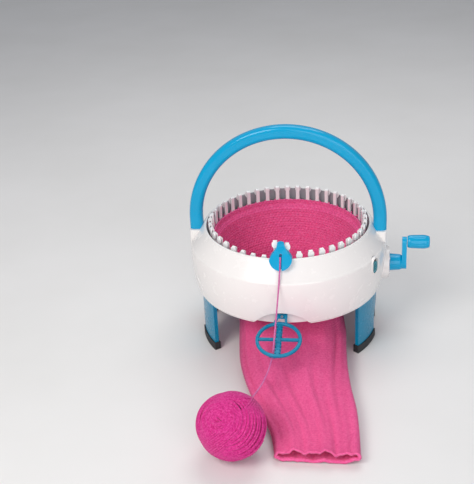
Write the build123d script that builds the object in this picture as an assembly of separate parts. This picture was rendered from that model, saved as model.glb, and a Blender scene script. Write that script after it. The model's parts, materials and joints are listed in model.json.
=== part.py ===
"""Circular knitting machine: a hand-cranked ring of latch needles in a drum on two leg panels.

Millimetres, +Z up. The origin is the needle axis at the floor. The yarn feeder faces -Y and the
crank shaft points along +X.
"""

from build123d import *
from math import atan2, cos, degrees, pi, radians, sin, tan
import os

# ---- driving dimensions -------------------------------------------------------------------
FLOOR_Z = 85.0            # the floor, on the scale of heights that this file draws in
BASE_Z = 180.0            # underside of the drum
RIM_Z = 292.0             # top of the drum's lip
SHOULDER_Z = 262.0        # crease between the side and the sloping deck
WALL = 3.0                # moulded wall
DRUM_R = 169.5            # widest radius of the drum
FOOT_R = 163.0            # drum radius just above its bottom edge
BOTTOM_ROUND = 7.0        # rounding of the bottom edge
LIP_R = 146.0             # outer radius of the lip
BORE_R = 144.2            # bore of the lip, which holds the collar
SIDE_MID_R, SIDE_MID_Z = 168.2, 214.0    # a point on the side's gentle curve

NEEDLES = 44
PITCH_DEG = 360.0 / NEEDLES
NEEDLE_R = 133.2          # outside of a needle's shank
SHANK_T = 2.6             # shank thickness, along the radius
SHANK_W = 2.6             # shank width, along the circle
HEAD_W = 6.4              # head width, along the circle
PLATE_W = 10.4            # width of the rounded plate on the outside of a head
NEEDLE_TOP = 301.5        # top of a needle at working height
STEM_TOP = 273.0          # where a needle's shank widens into its head
BARB_R = 135.4            # inner face of the hook's downturned end
PLATE_FOOT = 289.5        # bottom of the rounded plate
CYL_OUT, CYL_IN = 133.5, 126.5
CYL_TOP = 264.0

GEAR_TEETH, PINION_TEETH = 120, 12
GEAR_R = 144.0            # radius where the crown gear's pitch is measured
MODULE = 2 * GEAR_R / GEAR_TEETH
PINION_R = MODULE * PINION_TEETH / 2
TOOTH = 2.0               # tooth height above, and a little more below, the pitch line
GEAR_IN, GEAR_OUT = 126.5, 148.5
GEAR_Z0, GEAR_Z1 = 188.0, 196.0
PITCH_Z = 201.0           # pitch plane of the crown gear
SHAFT_Z = PITCH_Z + PINION_R
SHAFT_R = 4.0

HANDLE_R = 159.5          # centre line of the handle's arch
HANDLE_Z0 = 281.0         # bottom of the handle's legs
HANDLE_ZC = 299.0         # centre of the arch
HANDLE_T, HANDLE_W = 23.0, 21.0
SOCKET_HALF = 15.0        # half width of the socket under each handle leg
TENON_T, TENON_W, TENON_L = 13.0, 12.0, 20.0
FIT = 0.2                 # play of a plugged or sliding fit

LEG_IN, LEG_OUT = 148.0, 155.0
LEG_HALF_DEG = 36.5       # each leg panel spans this much either side of X
ARCH_HALF = 34.0          # half width of the arch between a leg panel's two feet
ARCH_TOP = 150.0
FOOT_SOLE = 4.0           # rubber under a leg
FOOT_BOOT = 14.0          # height of the rubber boot

NOTCH_HALF, NOTCH_H = 46.5, 26.0    # arched notch in the front of the drum
ALCOVE_IN, ALCOVE_OUT = 150.5, 153.0
CENTRE_R = 108.0          # opening in the base for the knitting

CRANK_X0 = 177.2          # inner end of the crank's hub
ARM_X0, ARM_X1 = 198.0, 206.0
ARM_L = 40.0
KNOB_X0, KNOB_X1 = 207.0, 245.0

SLOT_DEG = -27.0          # direction of the tube/panel selector
SLOT_Z = 249.0
SLOT_W, SLOT_H = 17.0, 27.0           # selector window
SLIDER_W, SLIDER_H = 16.2, 20.4       # slider in the window
SLIDER_Z = SLOT_Z - (SLOT_H - SLIDER_H) / 2 + 0.3    # slider's middle at the bottom of its travel
BEZEL_W, BEZEL_H, BEZEL_ROUND = 22.0, 32.0, 10.5

GUIDE_C = (-3.0, -196.0, 173.5)     # centre of the yarn guide wheel
GUIDE_TILT = 16.0
GUIDE_R, GUIDE_T = 35.0, 3.0
GUIDE_SCREW_Z = 195.4

YARN_D = 2.6
BALL_C = (-58.7, -381.0, 138.0)
BALL_R = 53.0

# Sections of the knitting below the drum: middle X, half width, then the front and the back as
# (Y, height over the floor).
TAIL_TOP = 150.0
TAIL_R = 91.0
TAIL_SECTIONS = [
    (0, TAIL_R, (-TAIL_R, 65), (TAIL_R, 65)),
    (2, 91.5, (-99, 61.5), (87, 41)),
    (5, 92, (-119, 55), (64, 15)),
    (9, 92, (-146, 48), (22, 4.5)),
    (12, 90, (-176, 42), (-38, 2.5)),
    (17, 88, (-210, 37), (-108, 2)),
    (28, 84, (-250, 33), (-186, 2)),
    (45, 78, (-298, 30), (-268, 2)),
    (60, 68, (-348, 27), (-336, 2)),
    (67, 64, (-398, 24), (-396, 2)),
]
TOWER_DEGS = (40, 90, 140, 200, 240, 305)
TOWER_R = 153.9
TAU = 360.0


# ---- helpers ------------------------------------------------------------------------------
def save(name, shape):
    """Write one node, lowered so that the floor is Z 0. A list becomes one node of several solids."""
    parts = shape if isinstance(shape, (list, tuple)) else [shape]
    solids = [solid for part in parts for solid in part.solids()]
    solids = [Pos(0, 0, -FLOOR_Z) * solid for solid in solids]
    export_step(solids[0] if len(solids) == 1 else Compound(children=solids), f"parts/{name}.step")


def tube(r_in, r_out, z_low, z_high):
    """A plain ring about Z."""
    low = (Align.CENTER, Align.CENTER, Align.MIN)
    height = z_high - z_low
    ring = Cylinder(r_out, height, align=low)
    if r_in > 0:
        ring = ring - Pos(0, 0, -1) * Cylinder(r_in, height + 2, align=low)
    return Pos(0, 0, z_low) * ring


def lathe(points, axis=Axis.Z):
    """Turn a closed outline of (radius, height) points about Z."""
    outline = Polyline(*[(r, 0, z) for r, z in points], close=True)
    return revolve(make_face(outline), axis, TAU)


def sector(r_in, r_out, z_low, z_high, mid_deg, half_deg):
    """Part of a ring, half_deg either side of mid_deg."""
    profile = Polyline((r_in, 0, z_low), (r_out, 0, z_low), (r_out, 0, z_high), (r_in, 0, z_high), close=True)
    body = revolve(make_face(profile), Axis.Z, 2 * half_deg)
    return Rot(0, 0, mid_deg - half_deg) * body


def rod(start, end, radius):
    """A round bar between two points."""
    a, b = Vector(*start), Vector(*end)
    plane = Plane(origin=a, z_dir=b - a)
    return extrude(plane * Circle(radius), (b - a).length)


def block(x0, x1, y0, y1, z0, z1):
    """A box between two corners."""
    centre = Pos((x0 + x1) / 2, (y0 + y1) / 2, (z0 + z1) / 2)
    return centre * Box(x1 - x0, y1 - y0, z1 - z0)


def x_disc(radius, x0, x1, z=SHAFT_Z):
    """A disc on the crank shaft's axis, which runs along X."""
    return rod((x0, 0, z), (x1, 0, z), radius)


# ---- drum ---------------------------------------------------------------------------------
def drum_solid():
    """The drum's outside as one full solid: rounded foot, nearly straight side, creased shoulder, lip."""
    under = (FOOT_R - BOTTOM_ROUND, 0, BASE_Z)
    foot_top = (FOOT_R, 0, BASE_Z + BOTTOM_ROUND)
    side_top = (DRUM_R, 0, SHOULDER_Z - 4)
    deck_foot = (DRUM_R - WALL, 0, SHOULDER_Z + 1.2)
    lip_foot = (LIP_R, 0, RIM_Z - 1)
    foot = ThreePointArc(under, (FOOT_R - 1.8, 0, BASE_Z + 2.2), foot_top)
    side = ThreePointArc(foot_top, (SIDE_MID_R, 0, SIDE_MID_Z), side_top)
    crease = ThreePointArc(side_top, (DRUM_R - 0.9, 0, SHOULDER_Z - 1), deck_foot)
    deck = ThreePointArc(deck_foot, (156.5, 0, 276.6), lip_foot)
    rest = Polyline(lip_foot, (LIP_R - 1, 0, RIM_Z), (0, 0, RIM_Z), (0, 0, BASE_Z), under)
    return revolve(make_face(foot + side + crease + deck + rest), Axis.Z, TAU)


def drum_hollow():
    """The space inside the drum's wall, open at the bottom and at the lip's bore."""
    side_foot = (FOOT_R - WALL, 0, BASE_Z + BOTTOM_ROUND)
    side_top = (DRUM_R - WALL, 0, SHOULDER_Z - 6)
    side = ThreePointArc(side_foot, (SIDE_MID_R - WALL, 0, SIDE_MID_Z), side_top)
    rest = Polyline(
        side_top, (164.0, 0, SHOULDER_Z - 1.5), (154.5, 0, 274), (148.5, 0, 281), (BORE_R, 0, 284),
        (BORE_R, 0, RIM_Z + 1), (0, 0, RIM_Z + 1), (0, 0, BASE_Z - 1),
        (FOOT_R - WALL, 0, BASE_Z - 1), side_foot,
    )
    return revolve(make_face(side + rest), Axis.Z, TAU)


def notch_cut():
    """The arch that is cut out of the front wall."""
    right, left = (NOTCH_HALF, BASE_Z), (-NOTCH_HALF, BASE_Z)
    arch = ThreePointArc(left, (0, BASE_Z + NOTCH_H), right)
    skirt = Polyline(right, (NOTCH_HALF, BASE_Z - 2), (-NOTCH_HALF, BASE_Z - 2), left)
    face = Plane.XZ * make_face(arch + skirt)
    return Pos(0, -ALCOVE_OUT + 6, 0) * extrude(face, 30)


def slot_frame():
    """Frame of the selector: local X out of the wall, local Y along it."""
    return Rot(0, 0, SLOT_DEG) * Pos(0, 0, SLOT_Z)


def slot_block(width, height, corner, x0, x1):
    """A round-cornered bar along the selector's outward direction."""
    face = Plane.YZ * RectangleRounded(width, height, corner)
    return slot_frame() * Pos(x0, 0, 0) * extrude(face, x1 - x0)


OUTSIDE = drum_solid()


def make_drum_shell():
    shell = OUTSIDE
    for side in (1, -1):
        socket = block(146.5, 171, -SOCKET_HALF, SOCKET_HALF, 247, HANDLE_Z0)
        socket = fillet(socket.edges().filter_by(Axis.Z).group_by(Axis.X)[-1], 5)
        shell += socket if side > 0 else mirror(socket, Plane.YZ)
    shell += x_disc(28.5, 155, 173.5)
    shell -= drum_hollow()
    shell -= x_disc(25, 140, 170)
    for side in (1, -1):
        keep = block(147, 168, -SOCKET_HALF + 3, SOCKET_HALF - 3, 247, 257)
        shell -= keep if side > 0 else mirror(keep, Plane.YZ)
        mid = side * HANDLE_R
        half_t, half_w = TENON_T / 2 + FIT, TENON_W / 2 + FIT
        pocket_z = HANDLE_Z0 - TENON_L - 0.5
        shell -= block(mid - half_t, mid + half_t, -half_w, half_w, pocket_z, HANDLE_Z0 + 1)
        shell -= rod((side * 164, 0, 270), (side * 172, 0, 270), 2.0)
        shell -= rod((side * 169.4, 0, 270), (side * 172, 0, 270), 3.8)
    shell -= x_disc(7.0, 165, 176)
    shell -= [rod((165, y, z), (176, y, z), 1.5) for y, z in boss_screw_spots()]
    for deg in TOWER_DEGS:
        tower = Rot(0, 0, deg) * (Pos(TOWER_R, 0, 232) * Cylinder(3.9, 97))
        shell += tower & OUTSIDE
    for deg in TOWER_DEGS:
        shell -= Rot(0, 0, deg) * (Pos(TOWER_R, 0, 190) * Cylinder(1.5, 34))
    shell -= tube(0, 200, BASE_Z - 2, BASE_Z + 3.6) & tube(0, FOOT_R - WALL, BASE_Z - 2, BASE_Z + 3.6)
    shell -= notch_cut()
    shell -= slot_block(BEZEL_W, BEZEL_H, BEZEL_ROUND, 155, 175)
    return shell


def boss_screw_spots():
    """Where the four screws of the crank's bearing plate sit, as (y, z)."""
    return [(19 * cos(radians(deg)), SHAFT_Z + 19 * sin(radians(deg))) for deg in (45, 135, 225, 315)]


def make_rim_collar():
    """White ring inside the lip. Its top edge is the rim seen round the needles."""
    return lathe([(140.9, 258.6), (BORE_R, 258.6), (BORE_R, 276), (146.8, 276), (146.8, 279), (BORE_R, 279),
                  (BORE_R, 292.6), (143.4, 293.4), (141.7, 293.4), (140.9, 292.4)])


def make_base_plate():
    plate = tube(CENTRE_R, FOOT_R - WALL, BASE_Z, BASE_Z + 3.5)
    plate += tube(CENTRE_R, CENTRE_R + 2.5, BASE_Z, BASE_Z + 8)
    plate -= sector(ALCOVE_OUT, FOOT_R, BASE_Z - 1, BASE_Z + 5, -90, 17.0)
    plate += sector(ALCOVE_IN, ALCOVE_OUT, BASE_Z, BASE_Z + NOTCH_H + 2, -90, 19.0)
    plate += sector(ALCOVE_OUT, FOOT_R, BASE_Z + NOTCH_H + 0.6, BASE_Z + NOTCH_H + 2, -90, 17.0)
    plate -= rod((0, -140, GUIDE_SCREW_Z), (0, -160, GUIDE_SCREW_Z), 1.5)
    for deg in TOWER_DEGS:
        spot = Rot(0, 0, deg) * Pos(TOWER_R, 0, BASE_Z)
        plate -= spot * Cylinder(1.7, 12)
        plate -= spot * Cylinder(2.6, 3.2)
    return plate


def make_case_screws():
    """Six screws up through the base plate into the drum's posts, heads flush."""
    screws = []
    for deg in TOWER_DEGS:
        spot = Rot(0, 0, deg) * Pos(TOWER_R, 0, BASE_Z)
        head = Pos(0, 0, 0.9) * Cylinder(2.5, 1.4)
        shank = Pos(0, 0, 10) * Cylinder(1.4, 18)
        slot = Pos(0, 0, 0.2) * Box(3.8, 0.8, 1.0)
        screws.append(spot * (head + shank - slot))
    return screws


def make_glide_ring():
    """Slippery ring on the base plate that carries the turning cylinder."""
    return tube(128.5, 138.5, BASE_Z + 3.5, GEAR_Z0 - 0.3)


def make_cam_track_ring():
    """Fixed ring round the needles. Its inner groove drops at the feeder and lifts the butts after it."""
    outline = [(137.0, 206.5), (140.6, 206.5), (140.6, 254), (BORE_R, 254), (BORE_R, 258.6), (137.0, 258.6)]
    ring = lathe(outline)
    groove_low, groove_high, depth_r, dip, ramp = 226.0, 236.0, 139.2, 12.0, 36.0
    steps = 9
    ring -= sector(136, depth_r, groove_low, groove_high, 90, 180 - ramp + 0.5)
    for side in (-1, 1):
        for i in range(steps):
            drop = dip * (1 - (i + 0.5) / steps)
            mid = -90 + side * ramp * (i + 0.5) / steps
            depth = depth_r - 0.02 * (i % 2 + 1)
            ring -= sector(136, depth, groove_low - drop, groove_high - drop, mid, ramp / steps / 2 + 0.4)
    return ring - block(130, 150, -19, 19, 200, 240)


# ---- handle, legs, feet -------------------------------------------------------------------
def make_carry_handle():
    section = Pos(HANDLE_R, 0, HANDLE_Z0) * RectangleRounded(HANDLE_T, HANDLE_W, 7.5)
    up = Line((HANDLE_R, 0, HANDLE_Z0), (HANDLE_R, 0, HANDLE_ZC))
    arch = ThreePointArc((HANDLE_R, 0, HANDLE_ZC), (0, 0, HANDLE_ZC + HANDLE_R), (-HANDLE_R, 0, HANDLE_ZC))
    down = Line((-HANDLE_R, 0, HANDLE_ZC), (-HANDLE_R, 0, HANDLE_Z0))
    handle = sweep(section, up + arch + down) - OUTSIDE
    for side in (1, -1):
        mid = side * HANDLE_R
        half_t, half_w = TENON_T / 2, TENON_W / 2
        handle += block(mid - half_t, mid + half_t, -half_w, half_w, HANDLE_Z0 - TENON_L, HANDLE_Z0 + 2)
        handle -= rod((side * 160, 0, 270), (side * 169, 0, 270), 1.6)
    return handle


def make_handle_screws():
    """One screw through each socket's outer face into the handle's tenon."""
    screws = []
    for side in (1, -1):
        shank = rod((side * 160.5, 0, 270), (side * 169.6, 0, 270), 1.5)
        head = rod((side * 169.5, 0, 270), (side * 170.8, 0, 270), 3.5)
        slot = block(170.2, 171, -2.6, 2.6, 269.6, 270.4)
        screws.append(shank + head - (slot if side > 0 else mirror(slot, Plane.YZ)))
    return screws


LEG_SCREW_DEGS = (-30, 0, 30)


def make_leg(mid_deg):
    """Curved panel with an arch between its two feet, and a flange that screws to the base."""
    leg = sector(LEG_IN, LEG_OUT, FLOOR_Z + FOOT_SOLE, BASE_Z, 0, LEG_HALF_DEG)
    flange = sector(138, LEG_OUT, BASE_Z - 4, BASE_Z, 0, LEG_HALF_DEG)
    spring = ARCH_TOP - ARCH_HALF
    sides = Pos(0, (FLOOR_Z + spring) / 2) * Rectangle(2 * ARCH_HALF, spring - FLOOR_Z)
    arch_face = Plane.YZ * (Pos(0, spring) * Circle(ARCH_HALF) + sides)
    leg -= Pos(110, 0, 0) * extrude(arch_face, 60)
    leg += flange
    for deg in LEG_SCREW_DEGS:
        leg -= Rot(0, 0, deg) * Pos(142.5, 0, BASE_Z) * Cylinder(1.7, 12)
    return Rot(0, 0, mid_deg) * leg


def make_leg_screws():
    screws = []
    for mid in (0, 180):
        for deg in LEG_SCREW_DEGS:
            head = Pos(0, 0, BASE_Z - 5) * Cylinder(3.2, 2)
            shank = Pos(0, 0, BASE_Z - 0.4) * Cylinder(1.4, 7.4)
            slot = Pos(0, 0, BASE_Z - 5.9) * Box(4.6, 0.8, 1.0)
            screws.append(Rot(0, 0, mid + deg) * Pos(142.5, 0, 0) * (head + shank - slot))
    return screws


def base_screw_holes(plate):
    """Clearance for the leg screws, which bite into the base plate."""
    for mid in (0, 180):
        for deg in LEG_SCREW_DEGS:
            plate -= Rot(0, 0, mid + deg) * Pos(142.5, 0, BASE_Z) * Cylinder(1.4, 20)
    return plate


def make_foot_pads(legs):
    """Rubber boots pushed over the four feet."""
    pads = []
    half = (LEG_HALF_DEG - degrees(atan2(ARCH_HALF, LEG_IN))) / 2
    centre = LEG_HALF_DEG - half
    for mid in (0, 180):
        for side in (1, -1):
            boot_mid = mid + side * centre
            boot = sector(LEG_IN - 2, LEG_OUT + 2, FLOOR_Z, FLOOR_Z + FOOT_BOOT, boot_mid, half + 0.8)
            for leg in legs:
                boot -= leg
            pads.append(boot)
    return pads


# ---- yarn feeder and guide ----------------------------------------------------------------
FEEDER_TOP = 322.0
FEEDER_IN = 139.7


def make_yarn_feeder():
    """Teardrop block that sits on the lip, with a groove and an eyelet for the yarn."""
    lobe_z, half = 296.0, 18.6
    left = Spline((-5.5, FEEDER_TOP), (-7.5, 313), (-half, lobe_z), tangents=[(-0.1, -1), (-0.25, -1)])
    base = ThreePointArc((-half, lobe_z), (0, lobe_z - 14), (half, lobe_z))
    right = Spline((half, lobe_z), (7.5, 313), (5.5, FEEDER_TOP), tangents=[(-0.25, 1), (-0.1, 1)])
    top = ThreePointArc((5.5, FEEDER_TOP), (0, FEEDER_TOP + 2.5), (-5.5, FEEDER_TOP))
    front_view = Pos(0, -130, 0) * extrude(Plane.XZ * make_face(left + base + right + top), 45)
    side_line = Polyline((-145.0, 330), (-FEEDER_IN, 330), (-FEEDER_IN, 260), (-165, 260), (-164, 274))
    side_curve = Spline((-164, 274), (-158.5, 290), (-147.5, 306), (-145.0, 330))
    side_view = Pos(-30, 0, 0) * extrude(Plane.YZ * make_face(side_line + side_curve), 60)
    feeder = front_view & side_view
    feeder -= OUTSIDE
    feeder -= tube(0, FEEDER_IN, 250, 330)
    feeder -= tube(139, 144.3, 250, 293.5)
    feeder -= rod((0, -130, 303), (0, -160, 303), 2.4)
    feeder -= block(-2.0, 2.0, -170, -146.2, 296, 303)
    groove_side = Polyline((-147.0, 303.5), (-152.6, 303.5), (-175, 262), (-165.2, 262), close=True)
    feeder -= Pos(-2.0, 0, 0) * extrude(Plane.YZ * make_face(groove_side), 4.0)
    return feeder


GUIDE = Pos(*GUIDE_C) * Rot(GUIDE_TILT, 0, 0)
YARN_TOP = (-0.5, -150.9, 301.0)
YARN_FOOT = (-0.8, -165.6, 273.5)
EYE = (-11.0, -223.0, 158.0)
EYE_R, EYE_T = 6.2, 1.5
YARN_BEND = 2.2           # how far the bend in the yarn cuts inside the corner at the eye
YARN_ROUTE = [
    YARN_TOP,
    YARN_FOOT,
    EYE,
    (-17.0, -256.0, 147.0),
    (-27.0, -292.0, 141.5),
    (-44.0, -345.0, 147.0),
]


def rounded_ring(radius, half_thickness):
    """A ring of nearly round section, in the XY plane."""
    ring = tube(radius - half_thickness, radius + half_thickness, -half_thickness, half_thickness)
    return fillet(ring.edges(), 0.83 * half_thickness)


def make_yarn_guide_wheel():
    """Open ring with a cross bar and a ribbed bar, and a small eye for the yarn at its front."""
    wheel = rounded_ring(GUIDE_R, GUIDE_T)
    wheel += Box(2 * GUIDE_R, 5.0, 3.6)
    wheel += Box(6.0, 2 * GUIDE_R, 4.0)
    for i in range(-4, 5):
        if i:
            wheel += Pos(0, i * 7.2, 0) * Box(10.5, 2.4, 5.4)
    wheel = GUIDE * wheel
    for side in (-1, 1):
        rim = (GUIDE * Pos(side * 10, 33.2, 0)).position
        wheel += rod((side * 6.6, -156.5, 193.6), tuple(rim), 2.2)
    arriving = (Vector(*EYE) - Vector(*YARN_FOOT)).normalized()
    leaving = (Vector(*YARN_ROUTE[3]) - Vector(*EYE)).normalized()
    centre = Vector(*EYE) + (leaving - arriving).normalized() * YARN_BEND
    wheel += Plane(origin=centre, z_dir=arriving + leaving) * rounded_ring(EYE_R, EYE_T)
    return wheel - make_guide_bracket()


def make_guide_bracket():
    """Clip plate on the alcove wall that the guide wheel's two arms plug into."""
    plate = block(-9, 9, -158.5, -ALCOVE_OUT + 1, 190.4, 198.6) - tube(0, ALCOVE_OUT, 170, 210)
    return plate - rod((0, -150, GUIDE_SCREW_Z), (0, -160, GUIDE_SCREW_Z), 1.5)


def make_guide_screw():
    screw = rod((0, -149, GUIDE_SCREW_Z), (0, -158.6, GUIDE_SCREW_Z), 1.4)
    screw += rod((0, -158.5, GUIDE_SCREW_Z), (0, -160.3, GUIDE_SCREW_Z), 2.4)
    return screw - block(-1.9, 1.9, -161, -159.7, GUIDE_SCREW_Z - 0.4, GUIDE_SCREW_Z + 0.4)


# ---- rotating needle carrier --------------------------------------------------------------
def needle_angle(i):
    """Needles sit half a pitch either side of the feeder, at -90 degrees."""
    return -90 + (i + 0.5) * PITCH_DEG


def needle_lift(i):
    """Height above the working height: low just left of the feeder, raised beside it."""
    turn = ((needle_angle(i) + 90 + 180) % 360) - 180
    if abs(turn) < PITCH_DEG:
        return 21.0 if turn < 0 else 17.0
    if -52 < turn < 0:
        return -7.0 + 7.0 * max(0.0, (abs(turn) - 24) / 28)
    return 0.0


def make_needle_cylinder():
    body = lathe([(CYL_IN, GEAR_Z1), (CYL_OUT, GEAR_Z1), (CYL_OUT, CYL_TOP - 1), (CYL_OUT - 1, CYL_TOP),
                  (CYL_IN + 1, CYL_TOP), (CYL_IN, CYL_TOP - 1)])
    half = SHANK_W / 2 + FIT
    slot = block(NEEDLE_R - SHANK_T - 0.3, CYL_OUT + 1, -half, half, 203, CYL_TOP + 1)
    body -= [Rot(0, 0, needle_angle(i)) * slot for i in range(NEEDLES)]
    body -= tube(CYL_OUT - 0.9, CYL_OUT + 1, 255.8, 259.8)
    return body


def needle_blank():
    """One latch needle standing at the working height, on the +X side."""
    r_in, r_out = NEEDLE_R - SHANK_T, NEEDLE_R
    shank = block(r_in, r_out, -SHANK_W / 2, SHANK_W / 2, 212, 275)
    butt = block(r_out - 0.5, 136.6, -SHANK_W / 2, SHANK_W / 2, 228, 233)
    hook = make_face(
        Polyline((r_in, STEM_TOP), (r_out, STEM_TOP), (r_out, 296.6))
        + ThreePointArc((r_out, 296.6), (134.3, 297.9), (BARB_R, 296.6))
        + Polyline((BARB_R, 296.6), (BARB_R, 289.0), (137.2, 289.8), (137.2, 297.2))
        + ThreePointArc((137.2, 297.2), (133.9, NEEDLE_TOP), (r_in, 297.2))
        + Line((r_in, 297.2), (r_in, STEM_TOP))
    )
    head = Pos(0, HEAD_W / 2, 0) * extrude(Plane.XZ * hook, HEAD_W)
    plate_top = NEEDLE_TOP - 0.6
    plate_mid = (PLATE_FOOT + plate_top) / 2
    face = Pos(0, plate_mid) * RectangleRounded(PLATE_W, plate_top - PLATE_FOOT, 4.6)
    plate = Pos(BARB_R + 0.1, 0, 0) * extrude(Plane.YZ * face, 1.9)
    return shank + butt + head + plate


def make_latch_needles():
    blank = needle_blank()
    return [Rot(0, 0, needle_angle(i)) * Pos(0, 0, needle_lift(i)) * blank for i in range(NEEDLES)]


def make_needle_latches():
    """The small hinged latch of each needle, hanging open against the outside of its stem."""
    blank = block(NEEDLE_R + 0.15, NEEDLE_R + 1.5, -1.1, 1.1, 276.5, 287.0)
    return [Rot(0, 0, needle_angle(i)) * Pos(0, 0, needle_lift(i)) * blank for i in range(NEEDLES)]


def make_retaining_band():
    """Spring band in the cylinder's groove that keeps the needles in their slots."""
    return tube(NEEDLE_R + 0.05, NEEDLE_R + 1.1, 256.2, 259.4)


def make_ring_gear():
    """Crown gear under the cylinder, teeth up, driven by the crank's pinion."""
    gear = tube(GEAR_IN, GEAR_OUT, GEAR_Z0, GEAR_Z1)
    gear += tube(140.8, GEAR_OUT, GEAR_Z1, PITCH_Z - TOOTH - 0.6)
    pitch = MODULE * pi
    half = pitch * 0.40 / 2
    slope = tan(radians(20))
    low, high = -TOOTH - 1.0, TOOTH
    outline = Polyline(
        (-half + slope * low, PITCH_Z + low), (half - slope * low, PITCH_Z + low),
        (half - slope * high, PITCH_Z + high), (-half + slope * high, PITCH_Z + high), close=True,
    )
    tooth = Pos(141.3, 0, 0) * extrude(Plane.YZ * make_face(outline), 6.8)
    gear += [Rot(0, 0, (i + 0.5) * 360 / GEAR_TEETH) * tooth for i in range(GEAR_TEETH)]
    return gear


def make_knitted_tube():
    """The upper knitting: hung on the needles and drawn in to leave through the base."""
    outer = [(130.0, 276.5), (130.0, 268.5), (127.5, 265.2), (125.4, 262.5), (124.0, 252), (117.5, 225),
             (107, 200), (98.5, 180), (93.5, 165), (TAIL_R, TAIL_TOP + 1)]
    inner = [(TAIL_R - 3, TAIL_TOP + 1), (90.5, 165), (95.5, 180), (104, 200), (114.5, 225), (121.0, 252),
             (122.2, 263.5), (125.2, 268.5), (127.2, 270.5), (127.2, 276.5)]
    return lathe(outer + inner)


def make_knitted_tail():
    """The finished knitting: it comes down to the floor and lies flat in front of the machine."""
    sections = []
    for mid_x, half_width, (y_front, z_front), (y_back, z_back) in TAIL_SECTIONS:
        front, back = Vector(mid_x, y_front, z_front + FLOOR_Z), Vector(mid_x, y_back, z_back + FLOOR_Z)
        across = front - back
        plane = Plane(origin=(front + back) / 2, x_dir=(1, 0, 0), z_dir=Vector(1, 0, 0).cross(across))
        sections.append(plane * Ellipse(half_width, across.length / 2))
    return loft(sections, ruled=True)


# ---- crank --------------------------------------------------------------------------------
def make_crank_boss_plate():
    plate = x_disc(27.0, 173.5, 176.3) - x_disc(7.0, 172, 178)
    for y, z in boss_screw_spots():
        plate -= rod((172, y, z), (178, y, z), 1.5)
    return plate


def make_boss_screws():
    screws = []
    for y, z in boss_screw_spots():
        screw = rod((168, y, z), (176.4, y, z), 1.4) + rod((176.3, y, z), (177.6, y, z), 2.8)
        screws.append(screw - block(177.1, 178, y - 2, y + 2, z - 0.4, z + 0.4))
    return screws


def make_crank_bushing():
    bush = x_disc(7.0, 166.5, 176.3) + x_disc(9.0, 165.0, 170.0)
    return bush - x_disc(SHAFT_R + 0.06, 160, 180)


def make_crank_shaft():
    """Steel shaft with a flat for the pinion and one for the hub."""
    shaft = x_disc(SHAFT_R, 142.0, 196.0)
    shaft -= block(141, 149.0, 2.8, 6, SHAFT_Z - 5, SHAFT_Z + 5)
    shaft -= block(180, 197, 2.8, 6, SHAFT_Z - 5, SHAFT_Z + 5)
    shaft -= x_disc(SHAFT_R + 1, 161.4, 162.6) - x_disc(3.0, 160, 164)
    shaft -= x_disc(1.4, 186, 197)
    return shaft


def pinion_outline():
    """Twelve straight-flanked teeth with rounded-off tips, kept thin for running clearance."""
    points = []
    root, flank, tip = PINION_R - TOOTH - 0.8, PINION_R - 0.6, PINION_R + TOOTH
    corners = ((-9.0, root), (-6.4, flank), (-2.6, tip), (2.6, tip), (6.4, flank), (9.0, root))
    for i in range(PINION_TEETH):
        mid = i * 360 / PINION_TEETH - 90
        for offset, radius in corners:
            a = radians(mid + offset)
            points.append((radius * cos(a), radius * sin(a)))
    return points


def make_pinion_gear():
    face = make_face(Polyline(*pinion_outline(), close=True))
    gear = Pos(141.4, 0, SHAFT_Z) * extrude(Plane.YZ * face, 7.0)
    hub = x_disc(8.0, 148.4, 156.0)
    gear += hub
    bore = x_disc(SHAFT_R, 140, 158) - block(139, 149.0, 2.8, 6, SHAFT_Z - 5, SHAFT_Z + 5)
    return gear - bore


def make_shaft_clip():
    """E-clip in the shaft's groove, just inside the bushing."""
    clip = x_disc(6.8, 161.6, 162.4) - x_disc(3.1, 160, 164)
    return clip - block(160, 164, -2.2, 2.2, SHAFT_Z - 8, SHAFT_Z)


def make_crank_hub():
    """Tapered blue hub with the arm's seat at its outer end."""
    profile = [(CRANK_X0, 0), (CRANK_X0, 15.0), (ARM_X0 - 3, 13.6), (ARM_X0, 12.0), (ARM_X0, 0)]
    hub = revolve(Plane.XZ * make_face(Polyline(*profile, close=True)), Axis.X, TAU)
    hub = Pos(0, 0, SHAFT_Z) * hub
    bore = x_disc(SHAFT_R, 170, 196) - block(179.9, 197, 2.8, 6, SHAFT_Z - 5, SHAFT_Z + 5)
    return hub - bore - x_disc(2.0, 190, 200)


def make_crank_arm():
    """Flat arm from the hub up to the knob's spindle."""
    ends = Pos(0, 0) * Circle(12.0) + Pos(0, ARM_L) * Circle(8.5)
    web = make_face(Polyline((-12.0, 0), (12.0, 0), (8.5, ARM_L), (-8.5, ARM_L), close=True))
    arm = Pos(ARM_X0, 0, SHAFT_Z) * extrude(Plane.YZ * (ends + web), ARM_X1 - ARM_X0)
    arm -= x_disc(2.0, 190, 210)
    arm -= x_disc(5.0, ARM_X1 - 3, 210)
    arm -= x_disc(3.0, 190, 210, SHAFT_Z + ARM_L)
    return arm


def make_crank_screw():
    """Screw through the arm and the hub into the end of the shaft."""
    screw = x_disc(1.4, 187, ARM_X1 - 2.8) + x_disc(4.6, ARM_X1 - 3, ARM_X1 - 0.4)
    screw -= block(ARM_X1 - 1.6, ARM_X1, -3, 3, SHAFT_Z - 0.5, SHAFT_Z + 0.5)
    screw -= block(ARM_X1 - 1.6, ARM_X1, -0.5, 0.5, SHAFT_Z - 3, SHAFT_Z + 3)
    return screw


def make_knob_spindle():
    """Steel pin riveted in the arm, with a head that keeps the knob on."""
    z = SHAFT_Z + ARM_L
    return x_disc(3.0, ARM_X0, 238.5, z) + x_disc(4.6, 238.5, 240.5, z)


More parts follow.
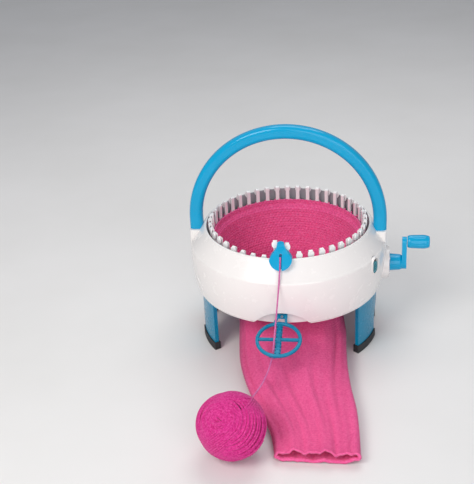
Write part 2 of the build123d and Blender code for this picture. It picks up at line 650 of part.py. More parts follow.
def make_crank_knob():
    """Barrel-shaped grip that turns on the spindle, with six shallow flutes."""
    z = SHAFT_Z + ARM_L
    swell = [(KNOB_X0, 9.0), (KNOB_X0 + 7, 11.4), (KNOB_X0 + 24, 12.0), (KNOB_X1 - 3.0, 10.6)]
    front = Spline(*swell, tangents=[(0.6, 1), (1, -0.35)])
    rest = Polyline((KNOB_X1 - 3.0, 10.6), (KNOB_X1 - 3.0, 0), (KNOB_X0, 0), (KNOB_X0, 9.0))
    knob = Pos(0, 0, z) * revolve(Plane.XZ * make_face(front + rest), Axis.X, TAU)
    knob -= x_disc(3.05, KNOB_X0 - 1, 239, z)
    knob -= x_disc(5.0, 238.2, KNOB_X1 + 1, z)
    knob -= x_disc(8.4, KNOB_X1 - 4.5, KNOB_X1 + 1, z)
    for i in range(6):
        a = radians(60 * i)
        y, dz = 14.6 * cos(a), 14.6 * sin(a)
        knob -= rod((KNOB_X0 + 8, y, z + dz), (KNOB_X1 - 8, y, z + dz), 3.2)
    return knob


def make_knob_cap():
    """Domed cap that closes the knob's end."""
    z = SHAFT_Z + ARM_L
    dome = x_disc(10.4, KNOB_X1 - 3.0, KNOB_X1, z)
    dome = fillet(dome.faces().sort_by(Axis.X)[-1].edges(), 2.4)
    return dome + x_disc(8.3, KNOB_X1 - 4.4, KNOB_X1 - 3.0, z)


# ---- selector -----------------------------------------------------------------------------
def make_selector_bezel():
    """Frame round the selector's window."""
    bezel = slot_block(BEZEL_W, BEZEL_H, BEZEL_ROUND, 166.4, 171.0)
    return bezel - slot_block(SLOT_W, SLOT_H, 8.0, 160, 175)


def make_selector_knob():
    """Teal slider in the window, stored at the bottom of its travel."""
    slider_face = Plane.YZ * RectangleRounded(SLIDER_W, SLIDER_H, 7.6)
    knob = Pos(164.0, 0, SLIDER_Z) * extrude(slider_face, 6.2)
    for i in range(-1, 2):
        knob += Pos(170.2, 0, SLIDER_Z + 4.2 * i) * Box(1.6, 9.0, 1.6)
    knob += Pos(161.5, 0, SLIDER_Z) * Box(6.0, 6.0, 8.0)
    return Rot(0, 0, SLOT_DEG) * knob


def make_selector_stop():
    """Inner lever on the slider: pushed down, its toe stops the ring for flat panels."""
    bar = block(156.5, 158.5, -7, 7, 206, SLIDER_Z + 8)
    toe = block(147.0, 156.5, -5, 5, 206, 209)
    return Rot(0, 0, SLOT_DEG) * (bar + toe)


def make_detent_spring():
    """Bent leaf beside the lever that holds it up or down."""
    leaf = block(158.8, 159.4, -4, 4, 206, 232)
    foot = block(158.8, 168.0, -4, 4, 231.4, 232)
    return Rot(0, 0, SLOT_DEG) * (leaf + foot) & drum_hollow()


# ---- yarn ---------------------------------------------------------------------------------
def route_radii(points):
    """0.45 of the shorter run over the tangent of half the turn, for each inner point."""
    radii = []
    for a, b, c in zip(points, points[1:], points[2:]):
        run_in, run_out = Vector(*b) - Vector(*a), Vector(*c) - Vector(*b)
        turn = radians(run_in.get_angle(run_out))
        radii.append(0.45 * min(run_in.length, run_out.length) / tan(turn / 2))
    return radii


def make_yarn_strand():
    radii = route_radii(YARN_ROUTE)
    print("yarn radii", [round(r, 1) for r in radii])
    path = FilletPolyline(*YARN_ROUTE, radius=radii)
    start = Vector(*YARN_ROUTE[0])
    section = Plane(origin=start, z_dir=Vector(*YARN_ROUTE[1]) - start) * Circle(YARN_D / 2)
    strand = sweep(section, path)
    print("yarn length", round(path.length, 1), "volume over section x length",
          round(strand.volume / (pi * YARN_D**2 / 4 * path.length), 4))
    return strand


# ---- build --------------------------------------------------------------------------------
def main():
    os.makedirs("parts", exist_ok=True)
    legs = [make_leg(0), make_leg(180)]
    save("drum_shell", make_drum_shell())
    save("rim_collar", make_rim_collar())
    save("base_plate", base_screw_holes(make_base_plate()))
    save("case_screws", make_case_screws())
    save("glide_ring", make_glide_ring())
    save("cam_track_ring", make_cam_track_ring())
    save("carry_handle", make_carry_handle())
    save("handle_screws", make_handle_screws())
    save("right_leg", legs[0])
    save("left_leg", legs[1])
    save("leg_screws", make_leg_screws())
    save("foot_pads", make_foot_pads(legs))
    save("yarn_feeder", make_yarn_feeder())
    save("yarn_guide_wheel", make_yarn_guide_wheel())
    save("guide_bracket", make_guide_bracket())
    save("guide_screw", make_guide_screw())
    save("needle_cylinder", make_needle_cylinder())
    save("latch_needles", make_latch_needles())
    save("needle_latches", make_needle_latches())
    save("retaining_band", make_retaining_band())
    save("ring_gear", make_ring_gear())
    save("knitted_tube", make_knitted_tube())
    save("knitted_tail", make_knitted_tail())
    save("crank_boss_plate", make_crank_boss_plate())
    save("boss_screws", make_boss_screws())
    save("crank_bushing", make_crank_bushing())
    save("crank_shaft", make_crank_shaft())
    save("pinion_gear", make_pinion_gear())
    save("shaft_clip", make_shaft_clip())
    save("crank_hub", make_crank_hub())
    save("crank_arm", make_crank_arm())
    save("crank_screw", make_crank_screw())
    save("knob_spindle", make_knob_spindle())
    save("crank_knob", make_crank_knob())
    save("knob_cap", make_knob_cap())
    save("selector_bezel", make_selector_bezel())
    save("selector_knob", make_selector_knob())
    save("selector_stop", make_selector_stop())
    save("detent_spring", make_detent_spring())
    save("yarn_strand", make_yarn_strand())
    save("yarn_ball", Pos(*BALL_C) * Sphere(BALL_R))


main()
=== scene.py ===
import json
import math
import random

import bpy
import numpy as np
from mathutils import Matrix, Vector


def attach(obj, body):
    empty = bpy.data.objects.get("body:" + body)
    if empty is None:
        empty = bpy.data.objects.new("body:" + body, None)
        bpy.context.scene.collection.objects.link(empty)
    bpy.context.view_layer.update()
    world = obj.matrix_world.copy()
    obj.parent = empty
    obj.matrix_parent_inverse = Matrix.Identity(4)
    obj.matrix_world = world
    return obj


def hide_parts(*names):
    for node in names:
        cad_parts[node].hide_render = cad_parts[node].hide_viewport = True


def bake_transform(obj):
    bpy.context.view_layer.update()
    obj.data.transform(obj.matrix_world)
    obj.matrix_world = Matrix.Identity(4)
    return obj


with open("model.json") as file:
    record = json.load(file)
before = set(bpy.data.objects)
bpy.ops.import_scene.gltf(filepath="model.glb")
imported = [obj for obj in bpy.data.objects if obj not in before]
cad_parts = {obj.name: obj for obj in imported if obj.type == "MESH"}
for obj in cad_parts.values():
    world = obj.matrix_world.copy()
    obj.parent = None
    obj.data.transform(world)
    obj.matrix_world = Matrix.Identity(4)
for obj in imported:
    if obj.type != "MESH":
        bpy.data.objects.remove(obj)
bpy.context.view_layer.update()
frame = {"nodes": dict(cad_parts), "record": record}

nodes = frame["nodes"]
MM = 0.001


# ---- node helpers -------------------------------------------------------------------------
def new_material(name):
    mat = bpy.data.materials.new(name)
    mat.use_nodes = True
    tree = mat.node_tree
    shader = tree.nodes["Principled BSDF"]
    return mat, tree, shader


def add(tree, kind, **settings):
    node = tree.nodes.new(kind)
    for key, value in settings.items():
        if key in node.inputs:
            node.inputs[key].default_value = value
        else:
            setattr(node, key, value)
    return node


def set_inputs(node, **values):
    for key, value in values.items():
        node.inputs[key.replace("_", " ")].default_value = value


def noise_at(tree, scale, detail=3.0, rough=0.55, coords=None):
    tex = add(tree, "ShaderNodeTexNoise")
    tex.inputs["Scale"].default_value = scale
    tex.inputs["Detail"].default_value = detail
    tex.inputs["Roughness"].default_value = rough
    tree.links.new(coords or position(tree), tex.inputs["Vector"])
    return tex


def position(tree):
    for node in tree.nodes:
        if node.bl_idname == "ShaderNodeTexCoord":
            return node.outputs["Object"]
    return tree.nodes.new("ShaderNodeTexCoord").outputs["Object"]


def ramp(tree, source, stops):
    node = tree.nodes.new("ShaderNodeValToRGB")
    cr = node.color_ramp
    while len(cr.elements) > 2:
        cr.elements.remove(cr.elements[-1])
    for i, (pos, col) in enumerate(stops):
        el = cr.elements[i] if i < 2 else cr.elements.new(pos)
        el.position = pos
        el.color = (*col, 1.0) if len(col) == 3 else col
    tree.links.new(source, node.inputs["Fac"])
    return node


def span(tree, source, low, high, from_low=0.3, from_high=0.7):
    node = tree.nodes.new("ShaderNodeMapRange")
    node.inputs["From Min"].default_value = from_low
    node.inputs["From Max"].default_value = from_high
    node.inputs["To Min"].default_value = low
    node.inputs["To Max"].default_value = high
    tree.links.new(source, node.inputs["Value"])
    return node.outputs["Result"]


def bump(tree, shader, height, strength, distance, before=None):
    node = tree.nodes.new("ShaderNodeBump")
    node.inputs["Strength"].default_value = strength
    node.inputs["Distance"].default_value = distance
    tree.links.new(height, node.inputs["Height"])
    if before is not None:
        tree.links.new(before, node.inputs["Normal"])
    tree.links.new(node.outputs["Normal"], shader.inputs["Normal"])
    return node.outputs["Normal"]


def plastic(name, colour, rough=(0.2, 0.3), vary=0.06, orange_peel=0.10, coat=0.35, grain=0.06, specular=0.5):
    """Moulded plastic: faint flow marks in the colour, uneven polish, and a soft ripple in the surface."""
    mat, tree, shader = new_material(name)
    flow = noise_at(tree, 14.0, 4.0, 0.6)
    dark = tuple(c * (1 - vary) for c in colour)
    light = tuple(min(1.0, c * (1 + vary * 0.6)) for c in colour)
    tone = ramp(tree, flow.outputs["Fac"], [(0.3, dark), (0.7, light)])
    tree.links.new(tone.outputs["Color"], shader.inputs["Base Color"])
    polish = noise_at(tree, 55.0, 5.0, 0.65)
    tree.links.new(span(tree, polish.outputs["Fac"], rough[0], rough[1]), shader.inputs["Roughness"])
    peel = noise_at(tree, 60.0, 2.0, 0.4)
    first = bump(tree, shader, peel.outputs["Fac"], orange_peel, 0.0012)
    fine = noise_at(tree, 900.0, 2.0, 0.5)
    bump(tree, shader, fine.outputs["Fac"], grain, 0.0002, before=first)
    set_inputs(shader, Coat_Weight=coat, Coat_Roughness=0.08, IOR=1.49, Specular_IOR_Level=specular)
    return mat


def metal(name, colour, rough=(0.25, 0.4)):
    """Plated steel: fine turned lines and uneven shine."""
    mat, tree, shader = new_material(name)
    stretch = tree.nodes.new("ShaderNodeMapping")
    stretch.inputs["Scale"].default_value = (900, 60, 900)
    tree.links.new(position(tree), stretch.inputs["Vector"])
    lines = noise_at(tree, 1.0, 4.0, 0.6, stretch.outputs["Vector"])
    tone = ramp(tree, lines.outputs["Fac"], [(0.3, tuple(c * 0.85 for c in colour)), (0.7, colour)])
    tree.links.new(tone.outputs["Color"], shader.inputs["Base Color"])
    tree.links.new(span(tree, lines.outputs["Fac"], rough[0], rough[1]), shader.inputs["Roughness"])
    bump(tree, shader, lines.outputs["Fac"], 0.15, 0.0002)
    set_inputs(shader, Metallic=1.0)
    return mat


def rubber(name):
    mat, tree, shader = new_material(name)
    dust = noise_at(tree, 120.0, 5.0, 0.7)
    tone = ramp(tree, dust.outputs["Fac"], [(0.35, (0.012, 0.013, 0.016)), (0.75, (0.05, 0.05, 0.055))])
    tree.links.new(tone.outputs["Color"], shader.inputs["Base Color"])
    tree.links.new(span(tree, dust.outputs["Fac"], 0.55, 0.85), shader.inputs["Roughness"])
    bump(tree, shader, noise_at(tree, 1400.0, 2.0).outputs["Fac"], 0.3, 0.0003)
    return mat


def wool(name, shadow, body, light, strand=0.0028, fuzz=0.6):
    """Acrylic yarn: colour that shifts from ply to ply as painted shade in the hollows of the ply bump and
    painted highlight on its ridges, fine fibres in the bump and a soft sheen.
    """
    mat, tree, shader = new_material(name)
    ply = noise_at(tree, 1 / strand * 0.8, 3.0, 0.6)
    # painted shade (shadow) in the hollows and painted highlight (light) on the ridges, because the same ply
    # noise drives the bump below
    tone = ramp(tree, ply.outputs["Fac"], [(0.25, shadow), (0.5, body), (0.8, light)])
    broad = noise_at(tree, 16.0, 3.0, 0.5)
    shade = tree.nodes.new("ShaderNodeMix")
    shade.data_type = "RGBA"
    shade.blend_type = "MULTIPLY"
    shade.inputs["Factor"].default_value = 0.5
    patches = ramp(tree, broad.outputs["Fac"], [(0.3, (0.86, 0.80, 0.84)), (0.7, (1, 1, 1))])
    tree.links.new(tone.outputs["Color"], shade.inputs["A"])
    tree.links.new(patches.outputs["Color"], shade.inputs["B"])
    tree.links.new(shade.outputs["Result"], shader.inputs["Base Color"])
    fibre = noise_at(tree, 2600.0, 4.0, 0.7)
    first = bump(tree, shader, ply.outputs["Fac"], 0.5, 0.0007)
    bump(tree, shader, fibre.outputs["Fac"], fuzz, 0.0004, before=first)
    tree.links.new(span(tree, fibre.outputs["Fac"], 0.75, 0.95), shader.inputs["Roughness"])
    set_inputs(shader, Sheen_Weight=0.25, Sheen_Roughness=0.45, Specular_IOR_Level=0.2)
    shader.inputs["Sheen Tint"].default_value = (1.0, 0.62, 0.78, 1.0)
    return mat


def collar_plastic_painted_shade():
    """White plastic with painted shade: its inner wall, inside the rim's edge, is painted grey where the
    shade of the well falls.
    """
    mat, tree, shader = new_material("collar_white_painted_shade")
    flat = tree.nodes.new("ShaderNodeVectorMath")
    flat.operation = "MULTIPLY"
    flat.inputs[1].default_value = (1, 1, 0)
    tree.links.new(position(tree), flat.inputs[0])
    radius = tree.nodes.new("ShaderNodeVectorMath")
    radius.operation = "LENGTH"
    tree.links.new(flat.outputs["Vector"], radius.inputs[0])
    # mask of the painted shade: grey on the collar's inner wall, white outside it
    painted_shade_mask = span(tree, radius.outputs["Value"], 0.0, 1.0, WALL_R, WALL_R + 0.0010)
    tone = ramp(tree, painted_shade_mask, [(0.0, (0.36, 0.38, 0.40)), (1.0, (0.88, 0.86, 0.84))])
    tree.links.new(tone.outputs["Color"], shader.inputs["Base Color"])
    polish = noise_at(tree, 55.0, 5.0, 0.65)
    tree.links.new(span(tree, polish.outputs["Fac"], 0.26, 0.36), shader.inputs["Roughness"])
    bump(tree, shader, noise_at(tree, 60.0, 2.0, 0.4).outputs["Fac"], 0.10, 0.0012)
    return mat


WALL_R = 0.1411           # inner wall of the collar
WHITE = plastic("moulded_white", (0.88, 0.845, 0.825), rough=(0.20, 0.30), vary=0.02, coat=0.35)
COLLAR_PAINTED_SHADE = collar_plastic_painted_shade()
NEEDLE_WHITE = plastic("needle_white", (0.93, 0.93, 0.92), rough=(0.18, 0.28), vary=0.02, coat=0.3)
BLUE = plastic(
    "moulded_cyan", (0.0, 0.35, 0.62), rough=(0.12, 0.20), vary=0.04, orange_peel=0.03, coat=0.15,
    specular=0.3)
# the legs are the same cyan plastic as BLUE, made darker here as painted shade
LEG_BLUE_PAINTED_SHADE = plastic(
    "moulded_cyan_legs_painted_shade", (0.0, 0.23, 0.40), rough=(0.20, 0.32), vary=0.04, orange_peel=0.03, coat=0.1,
    specular=0.3)
WHEEL_BLUE = plastic(
    "moulded_teal_blue", (0.0, 0.23, 0.40), rough=(0.22, 0.34), vary=0.08, coat=0.1, specular=0.3)
TEAL = plastic("moulded_teal", (0.002, 0.25, 0.32), rough=(0.22, 0.34), vary=0.08, coat=0.2)
GREY = plastic("moulded_grey", (0.42, 0.44, 0.46), rough=(0.35, 0.5), vary=0.05, coat=0.0)
STEEL = metal("plated_steel", (0.62, 0.62, 0.64))
RUBBER = rubber("soft_rubber")
KNIT = wool("knitted_wool", (0.78, 0.075, 0.26), (0.92, 0.125, 0.35), (0.97, 0.21, 0.45))
YARN = wool("wound_wool", (0.46, 0.008, 0.14), (0.68, 0.030, 0.26), (0.84, 0.12, 0.40), strand=0.0022)
THREAD = wool("running_thread", (0.45, 0.05, 0.24), (0.66, 0.16, 0.40), (0.82, 0.36, 0.60), strand=0.0016)

BY_SLOT = {
    "white_plastic": WHITE, "blue_plastic": BLUE, "teal_plastic": TEAL, "needle_plastic": NEEDLE_WHITE,
    "grey_plastic": GREY, "steel": STEEL, "rubber": RUBBER, "knitting": KNIT, "yarn": YARN,
}
BY_NODE = {
    "rim_collar": COLLAR_PAINTED_SHADE, "right_leg": LEG_BLUE_PAINTED_SHADE, "left_leg": LEG_BLUE_PAINTED_SHADE,
    "yarn_guide_wheel": WHEEL_BLUE, "guide_bracket": WHEEL_BLUE,
}


def paint(obj, mat):
    if obj.data.materials:
        for i in range(len(obj.data.materials)):
            obj.material_slots[i].material = mat
    else:
        obj.data.materials.append(mat)


for row in frame["record"]["subparts"]:
    name = row["node"]
    paint(nodes[name], BY_NODE.get(name, BY_SLOT[row["material_slot"]]))


# ---- mesh helpers -------------------------------------------------------------------------
def mesh_object(name, verts, faces, mat, body):
    mesh = bpy.data.meshes.new(name)
    mesh.from_pydata([tuple(v) for v in verts], [], [tuple(int(i) for i in f) for f in faces])
    mesh.validate()
    obj = bpy.data.objects.new(name, mesh)
    bpy.context.scene.collection.objects.link(obj)
    mesh.shade_smooth()
    mesh.materials.append(mat)
    if body:
        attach(obj, body)
    return obj


def grid_faces(rows, cols, wrap_cols=True, wrap_rows=False, start=0, flip=False):
    r = np.arange(rows if wrap_rows else rows - 1)
    c = np.arange(cols if wrap_cols else cols - 1)
    rr, cc = np.meshgrid(r, c, indexing="ij")
    a = rr * cols + cc
    b = rr * cols + (cc + 1) % cols
    d = ((rr + 1) % rows) * cols + cc
    e = ((rr + 1) % rows) * cols + (cc + 1) % cols
    quads = np.stack([a, b, e, d], axis=-1).reshape(-1, 4) + start
    return quads[:, ::-1] if flip else quads


def tube_along(points, radius, sides=6, closed=False):
    """Vertices and faces of a round tube that follows the points."""
    pts = np.asarray(points, float)
    n = len(pts)
    if closed:
        tangents = np.roll(pts, -1, 0) - np.roll(pts, 1, 0)
    else:
        tangents = np.gradient(pts, axis=0)
    tangents /= np.linalg.norm(tangents, axis=1)[:, None]
    normal = np.cross(tangents[0], (0.31, 0.17, 0.93))
    normal /= np.linalg.norm(normal)
    rings = []
    for i in range(n):
        normal = normal - tangents[i] * normal.dot(tangents[i])
        normal /= np.linalg.norm(normal)
        side = np.cross(tangents[i], normal)
        angles = np.arange(sides) * 2 * math.pi / sides
        r = radius[i] if hasattr(radius, "__len__") else radius
        rings.append(pts[i] + r * (np.cos(angles)[:, None] * normal + np.sin(angles)[:, None] * side))
    verts = np.concatenate(rings)
    faces = [list(f) for f in grid_faces(n, sides, wrap_rows=closed)]
    if not closed:
        faces.append(list(range(sides))[::-1])
        faces.append([len(verts) - sides + k for k in range(sides)])
    return verts, faces


# ---- running yarn: feeder, guide eye, ball -------------------------------------------------
YARN_D = 0.0026
ROUTE = [
    (-0.0005, -0.1509, 0.2160), (-0.0008, -0.1656, 0.1885), (-0.0098, -0.2161, 0.0869),
    (-0.0110, -0.2230, 0.0730), (-0.0170, -0.2560, 0.0620), (-0.0270, -0.2920, 0.0565),
    (-0.0440, -0.3450, 0.0620),
]


def nurbs(name, points, radius, mat, body):
    curve = bpy.data.curves.new(name, "CURVE")
    curve.dimensions = "3D"
    curve.resolution_u = 16
    curve.bevel_depth = radius
    curve.bevel_resolution = 3
    curve.use_fill_caps = True
    spline = curve.splines.new("NURBS")
    spline.points.add(len(points) - 1)
    for point, at in zip(spline.points, points):
        point.co = (*at, 1.0)
    spline.order_u = 3
    spline.use_endpoint_u = True
    curve.materials.append(mat)
    obj = bpy.data.objects.new(name, curve)
    bpy.context.scene.collection.objects.link(obj)
    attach(obj, body)
    return obj


thread = nurbs("running_yarn", ROUTE, YARN_D / 2, THREAD, "housing")
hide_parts("yarn_strand")

# ---- ball of yarn -------------------------------------------------------------------------
BALL_R = 0.053
BALL_C = np.array((-0.0587, -0.381, BALL_R))


def ball_of_yarn():
    rng = random.Random(7)
    strand = 0.0017
    verts, faces = [], []

    def extend(v, f):
        start = sum(len(x) for x in verts)
        verts.append(v)
        faces.extend([[i + start for i in face] for face in f])

    def winding(axis, radius, count, spread, wobble):
        """A bundle of near-parallel turns round an axis, side by side."""
        axis = np.asarray(axis, float)
        axis /= np.linalg.norm(axis)
        u = np.cross(axis, (0.2, 0.5, 0.84))
        u /= np.linalg.norm(u)
        v = np.cross(axis, u)
        steps = 56
        path = []
        for k in range(count * steps):
            turn = k / steps
            t = 2 * math.pi * turn
            shift = (turn / count - 0.5) * spread + wobble * math.sin(t * 1.02 + count)
            r = math.sqrt(max(radius**2 - shift**2, 0.0001))
            path.append(BALL_C + axis * shift + r * (math.cos(t) * u + math.sin(t) * v))
        extend(*tube_along(path, strand, 6))

    for layer in range(13):
        axis = (rng.uniform(-1, 1), rng.uniform(-1, 1), rng.uniform(-1, 1))
        winding(axis, BALL_R - 0.0048 + 0.0002 * layer, 9, 0.030, 0.0015)
    pole = np.array((-0.30, -0.62, 0.72))
    pole /= np.linalg.norm(pole)
    u = np.cross(pole, (0, 0, 1.0))
    u /= np.linalg.norm(u)
    v = np.cross(pole, u)
    path = []
    turns = 15
    steps = 60
    for k in range(turns * steps):
        turn = k / steps
        t = 2 * math.pi * turn
        tilt = 0.10 + 1.55 * turn / turns + 0.025 * math.sin(t * 0.5 + 1)
        r = BALL_R - 0.0019 - 0.0009 * math.sin(turn * 1.7) ** 2
        sideways = 1.06 * math.cos(t) * u + 0.94 * math.sin(t) * v
        path.append(BALL_C + r * (math.cos(tilt) * pole + math.sin(tilt) * sideways))
    extend(*tube_along(path, strand, 7))
    return mesh_object("wound_yarn_ball", np.concatenate(verts), faces, YARN, "housing")


ball = ball_of_yarn()
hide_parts("yarn_ball")

# ---- knitting -----------------------------------------------------------------------------
WALES = 110               # columns of stitches round the tube
COURSE = 0.0046           # height of one row of stitches
HALF_T = 0.0010           # half the thickness of the fabric
KNIT_RELIEF = 0.0015      # depth of the stitches on the outside
PURL_RELIEF = 0.0019      # and of the bumps on the inside,
PURL_TO = 0.20            # which fade out at this distance from the needles
FINE_TO = 0.21            # beyond this the inside, which nobody sees, has a row in four
FLOOR_OUTER = 0.0008      # lowest the outer face lies
FLOOR_INNER = 0.0016      # and the inner face
FRONT = np.array((0.0, -1.0, 0.0))
# funnel rings on the needle axis: radius, height
FUNNEL = [
    (128.6, 191.0), (128.6, 183.5), (126.4, 179.5), (123.9, 176.0), (122.6, 167), (119.8, 154), (116.0, 140),
    (110.6, 126), (104.0, 112), (97.5, 98), (93.0, 84), (89.8, 67),
]
# the knitting below the drum: middle x, half width, front (y, z), back (y, z)
TAIL = [
    (0, 89.5, (-89.5, 63), (89.5, 63)), (2, 89.5, (-97, 59.5), (85, 40)), (5, 90, (-117, 53), (62, 15.5)),
    (9, 90, (-144, 46), (21, 6)), (12, 88, (-174, 40), (-39, 4)), (17, 86, (-208, 35), (-109, 3.5)),
    (28, 82, (-248, 31), (-187, 3.5)), (45, 76, (-296, 28), (-269, 3.5)), (60, 66, (-346, 25), (-337, 3.5)),
    (67, 62, (-396, 22), (-395, 3.5)),
]


def smooth(values, times, at):
    """Smooth interpolation through the values (Catmull-Rom on uneven times)."""
    values = np.asarray(values, float)
    slopes = np.gradient(values, times, axis=0)
    k = np.clip(np.searchsorted(times, at, side="right") - 1, 0, len(times) - 2)
    h = (times[k + 1] - times[k])
    u = (at - times[k]) / h
    shape = (-1,) + (1,) * (values.ndim - 1)
    u, h = u.reshape(shape), h.reshape(shape)
    return ((2 * u**3 - 3 * u**2 + 1) * values[k] + (u**3 - 2 * u**2 + u) * h * slopes[k]
            + (-2 * u**3 + 3 * u**2) * values[k + 1] + (u**3 - u**2) * h * slopes[k + 1])


def knitted_tube():
    """One tube of knitting with two faces: purl bumps inside, stocking stitch outside."""
    centres, widths, halves, flat = [], [], [], []
    for r, z in FUNNEL:
        centres.append((0, 0, z))
        widths.append(r)
        halves.append(FRONT * r)
        flat.append(0.0)
    for n, (mid, a, (yf, zf), (yb, zb)) in enumerate(TAIL):
        front, back = np.array((mid, yf, zf)), np.array((mid, yb, zb))
        centres.append((front + back) / 2)
        widths.append(a)
        halves.append((front - back) / 2)
        flat.append(n / (len(TAIL) - 1))
    centres, widths, halves, flat = (np.array(v, float) for v in (centres, widths, halves, flat))
    centres, widths, halves = centres * MM, widths * MM, halves * MM
    mid_line = centres + halves * 0.6
    steps = np.hypot(np.linalg.norm(np.diff(mid_line, axis=0), axis=1), np.diff(widths))
    times = np.concatenate([[0], np.cumsum(steps)])
    total = times[-1]
    courses = int(total / COURSE)
    rows, cols = courses * 4 + 1, WALES * 4
    s = np.linspace(0, total, rows)
    C, A, H, F = (smooth(v, times, s) for v in (centres, widths, halves, flat))
    F = np.clip(F, 0, 1)
    dense = np.linspace(0, 2 * math.pi, 721) - math.pi / 2
    target = np.arange(cols) / cols
    P = np.zeros((rows, cols, 3))
    for k in range(rows):
        n = 2.0 + 0.9 * F[k]
        c, q = np.cos(dense), np.sin(dense)
        x = A[k] * np.sign(c) * np.abs(c) ** (2 / n)
        h = -np.sign(q) * np.abs(q) ** (2 / n)
        pts = C[k] + x[:, None] * np.array((1.0, 0, 0)) + h[:, None] * H[k]
        run = np.concatenate([[0], np.cumsum(np.linalg.norm(np.diff(pts, axis=0), axis=1))])
        run /= run[-1]
        for axis in range(3):
            P[k, :, axis] = np.interp(target, run, pts[:, axis])
    turn = target * 2 * math.pi - math.pi / 2
    T, S = np.meshgrid(turn, s)
    d_turn = np.roll(P, -1, 1) - np.roll(P, 1, 1)
    d_run = np.gradient(P, axis=0)
    N = np.cross(d_run, d_turn)
    N /= np.linalg.norm(N, axis=2, keepdims=True)
    low = np.clip((0.150 - P[:, :, 2]) / 0.10, 0, 1) * np.clip((S - 0.10) / 0.10, 0, 1)
    top_side = np.clip(0.4 + 0.6 * N[:, :, 2], 0, 1)
    folds = (0.0030 * np.sin(6 * T + 0.8 + 5 * S) + 0.0022 * np.sin(11 * T - 0.7 - 7 * S)
             + 0.0010 * np.sin(23 * T + 2 + 9 * S))
    pull = 0.0006 * (1 + np.sin(7 * T + 25 * S)) * np.clip((S - 0.02) / 0.03, 0, 1)
    soft = folds * low * (0.35 + 0.65 * top_side) - pull
    wale, course = target[None, :] * WALES + 0 * S, S / COURSE
    leg = np.abs(np.mod(wale, 1) - 0.5)
    chevron = 0.5 * np.cos(2 * math.pi * (course + leg * 0.9))
    knit = KNIT_RELIEF * (chevron + 0.8 * np.sin(2 * math.pi * leg) - 0.3)
    sway = 0.5 * np.mod(np.floor(course), 2)
    across_bumps = 0.42 * np.cos(2 * math.pi * (course + 0.20 * np.cos(2 * math.pi * wale)))
    purl = PURL_RELIEF * (across_bumps + 0.58 * np.cos(2 * math.pi * (wale + sway)))
    roll = 0.0012 * np.exp(-((total - S) / 0.004) ** 2)
    outer = P + N * (soft + HALF_T + knit + roll)[:, :, None]
    inner_purl = purl * np.clip((PURL_TO - S) / 0.05, 0, 1)
    inner = P + N * (soft - HALF_T - inner_purl - roll)[:, :, None]
    keep = [k for k in range(rows) if s[k] < FINE_TO or (rows - 1 - k) % 4 == 0]
    inner = inner[keep]
    outer[:, :, 2] = np.maximum(outer[:, :, 2], FLOOR_OUTER)
    inner[:, :, 2] = np.maximum(inner[:, :, 2], FLOOR_INNER)
    shift = rows * cols
    verts = np.concatenate([outer.reshape(-1, 3), inner.reshape(-1, 3)])
    c = np.arange(cols)
    n = (c + 1) % cols
    last_out, last_in = (rows - 1) * cols, shift + (len(keep) - 1) * cols
    faces = [
        grid_faces(rows, cols, flip=True),
        grid_faces(len(keep), cols, start=shift),
        np.stack([c, n, n + shift, c + shift], -1),
        np.stack([last_in + c, last_in + n, last_out + n, last_out + c], -1),
    ]
    return mesh_object("knitted_tube_wool", verts, np.concatenate(faces), KNIT, None), total


NEEDLES = 44
STEM_R = 0.1317           # middle of the stems the loops hang on
LOOP_Z = 0.1885


def needle_loops():
    """The stitches that hang on the needles: one loop of yarn round each stem."""
    verts, faces = [], []
    steps = 28
    for i in range(NEEDLES):
        a = math.radians(-90 + (i + 0.5) * 360 / NEEDLES)
        radial, side = np.array((math.cos(a), math.sin(a), 0)), np.array((-math.sin(a), math.cos(a), 0))
        path = []
        for k in range(steps):
            t = 2 * math.pi * k / steps
            r = STEM_R + 0.0035 * math.cos(t)
            w = 0.0049 * math.sin(t) * (1.0 + 0.25 * math.cos(t))
            z = LOOP_Z + 0.0012 * math.cos(t) + 0.0006 * math.sin(5 * i)
            path.append(radial * r + side * w + np.array((0, 0, z)))
        v, f = tube_along(path, 0.00125, 7, closed=True)
        start = sum(len(x) for x in verts)
        verts.append(v)
        faces.extend([[q + start for q in face] for face in f])
    return mesh_object("needle_loops", np.concatenate(verts), faces, KNIT, "needle_carrier")


loops = needle_loops()
knit, knit_length = knitted_tube()
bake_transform(knit)
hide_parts("knitted_tube", "knitted_tail")


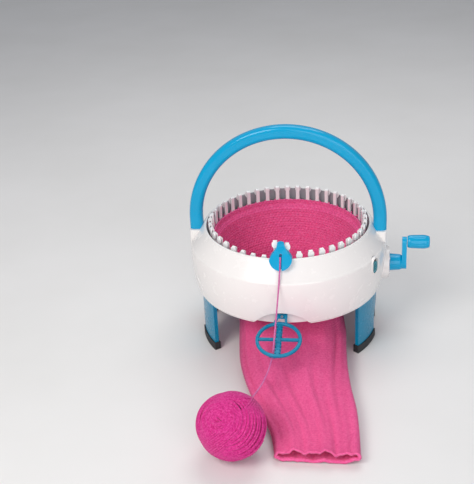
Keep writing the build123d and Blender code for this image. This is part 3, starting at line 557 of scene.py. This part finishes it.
# ---- floor, light, camera -----------------------------------------------------------------
def stage():
    mat, tree, shader = new_material("studio_floor")
    cloud = noise_at(tree, 3.0, 3.0)
    tone = ramp(tree, cloud.outputs["Fac"], [(0.3, (0.80, 0.79, 0.775)), (0.7, (0.84, 0.83, 0.82))])
    tree.links.new(tone.outputs["Color"], shader.inputs["Base Color"])
    shader.inputs["Roughness"].default_value = 0.75
    size = 6.0
    mesh = bpy.data.meshes.new("studio_floor")
    corners = [(-size, -size, 0), (size, -size, 0), (size, size, 0), (-size, size, 0)]
    mesh.from_pydata(corners, [], [(0, 1, 2, 3)])
    mesh.materials.append(mat)
    floor = bpy.data.objects.new("studio_floor", mesh)
    bpy.context.scene.collection.objects.link(floor)


def area_light(name, at, look, size, power, colour=(1, 1, 1)):
    data = bpy.data.lights.new(name, "AREA")
    data.energy = power
    data.size = size
    data.color = colour
    light = bpy.data.objects.new(name, data)
    light.location = at
    way = Vector(look) - Vector(at)
    light.rotation_euler = way.to_track_quat("-Z", "Y").to_euler()
    bpy.context.scene.collection.objects.link(light)


stage()
world = bpy.data.worlds.new("studio")
bpy.context.scene.world = world
world.use_nodes = True
world.node_tree.nodes["Background"].inputs["Color"].default_value = (0.90, 0.93, 1.0, 1.0)
world.node_tree.nodes["Background"].inputs["Strength"].default_value = 0.36
area_light("key", (-0.9, -1.5, 1.6), (0, -0.05, 0.13), 1.0, 23, (1.0, 0.97, 0.93))
area_light("fill", (0.6, -1.8, 0.75), (0, 0, 0.17), 1.4, 13, (0.97, 0.98, 1.0))
area_light("top", (0.1, 0.7, 1.8), (0, 0, 0.15), 1.2, 12)

# the roll of -3 degrees meets half-way a print that is sheared, which no camera can copy
AZIMUTH, ELEVATION, ROLL = math.radians(8.0), math.radians(26.7), math.radians(-3)
DISTANCE = 1.8
AIM = Vector((-0.0892, -0.008, 0.170))
cam_data = bpy.data.cameras.new("camera")
cam_data.sensor_fit = "HORIZONTAL"
cam_data.sensor_width = 36
cam_data.lens = 77.7
cam = bpy.data.objects.new("camera", cam_data)
away = Vector((
    math.sin(AZIMUTH) * math.cos(ELEVATION), -math.cos(AZIMUTH) * math.cos(ELEVATION), math.sin(ELEVATION)))
cam.location = AIM + away * DISTANCE
turn = (-away).to_track_quat("-Z", "Y").to_matrix().to_4x4() @ Matrix.Rotation(ROLL, 4, "Z")
cam.rotation_euler = turn.to_euler()
bpy.context.scene.collection.objects.link(cam)
bpy.context.scene.camera = cam
bpy.context.scene.view_settings.view_transform = "Standard"
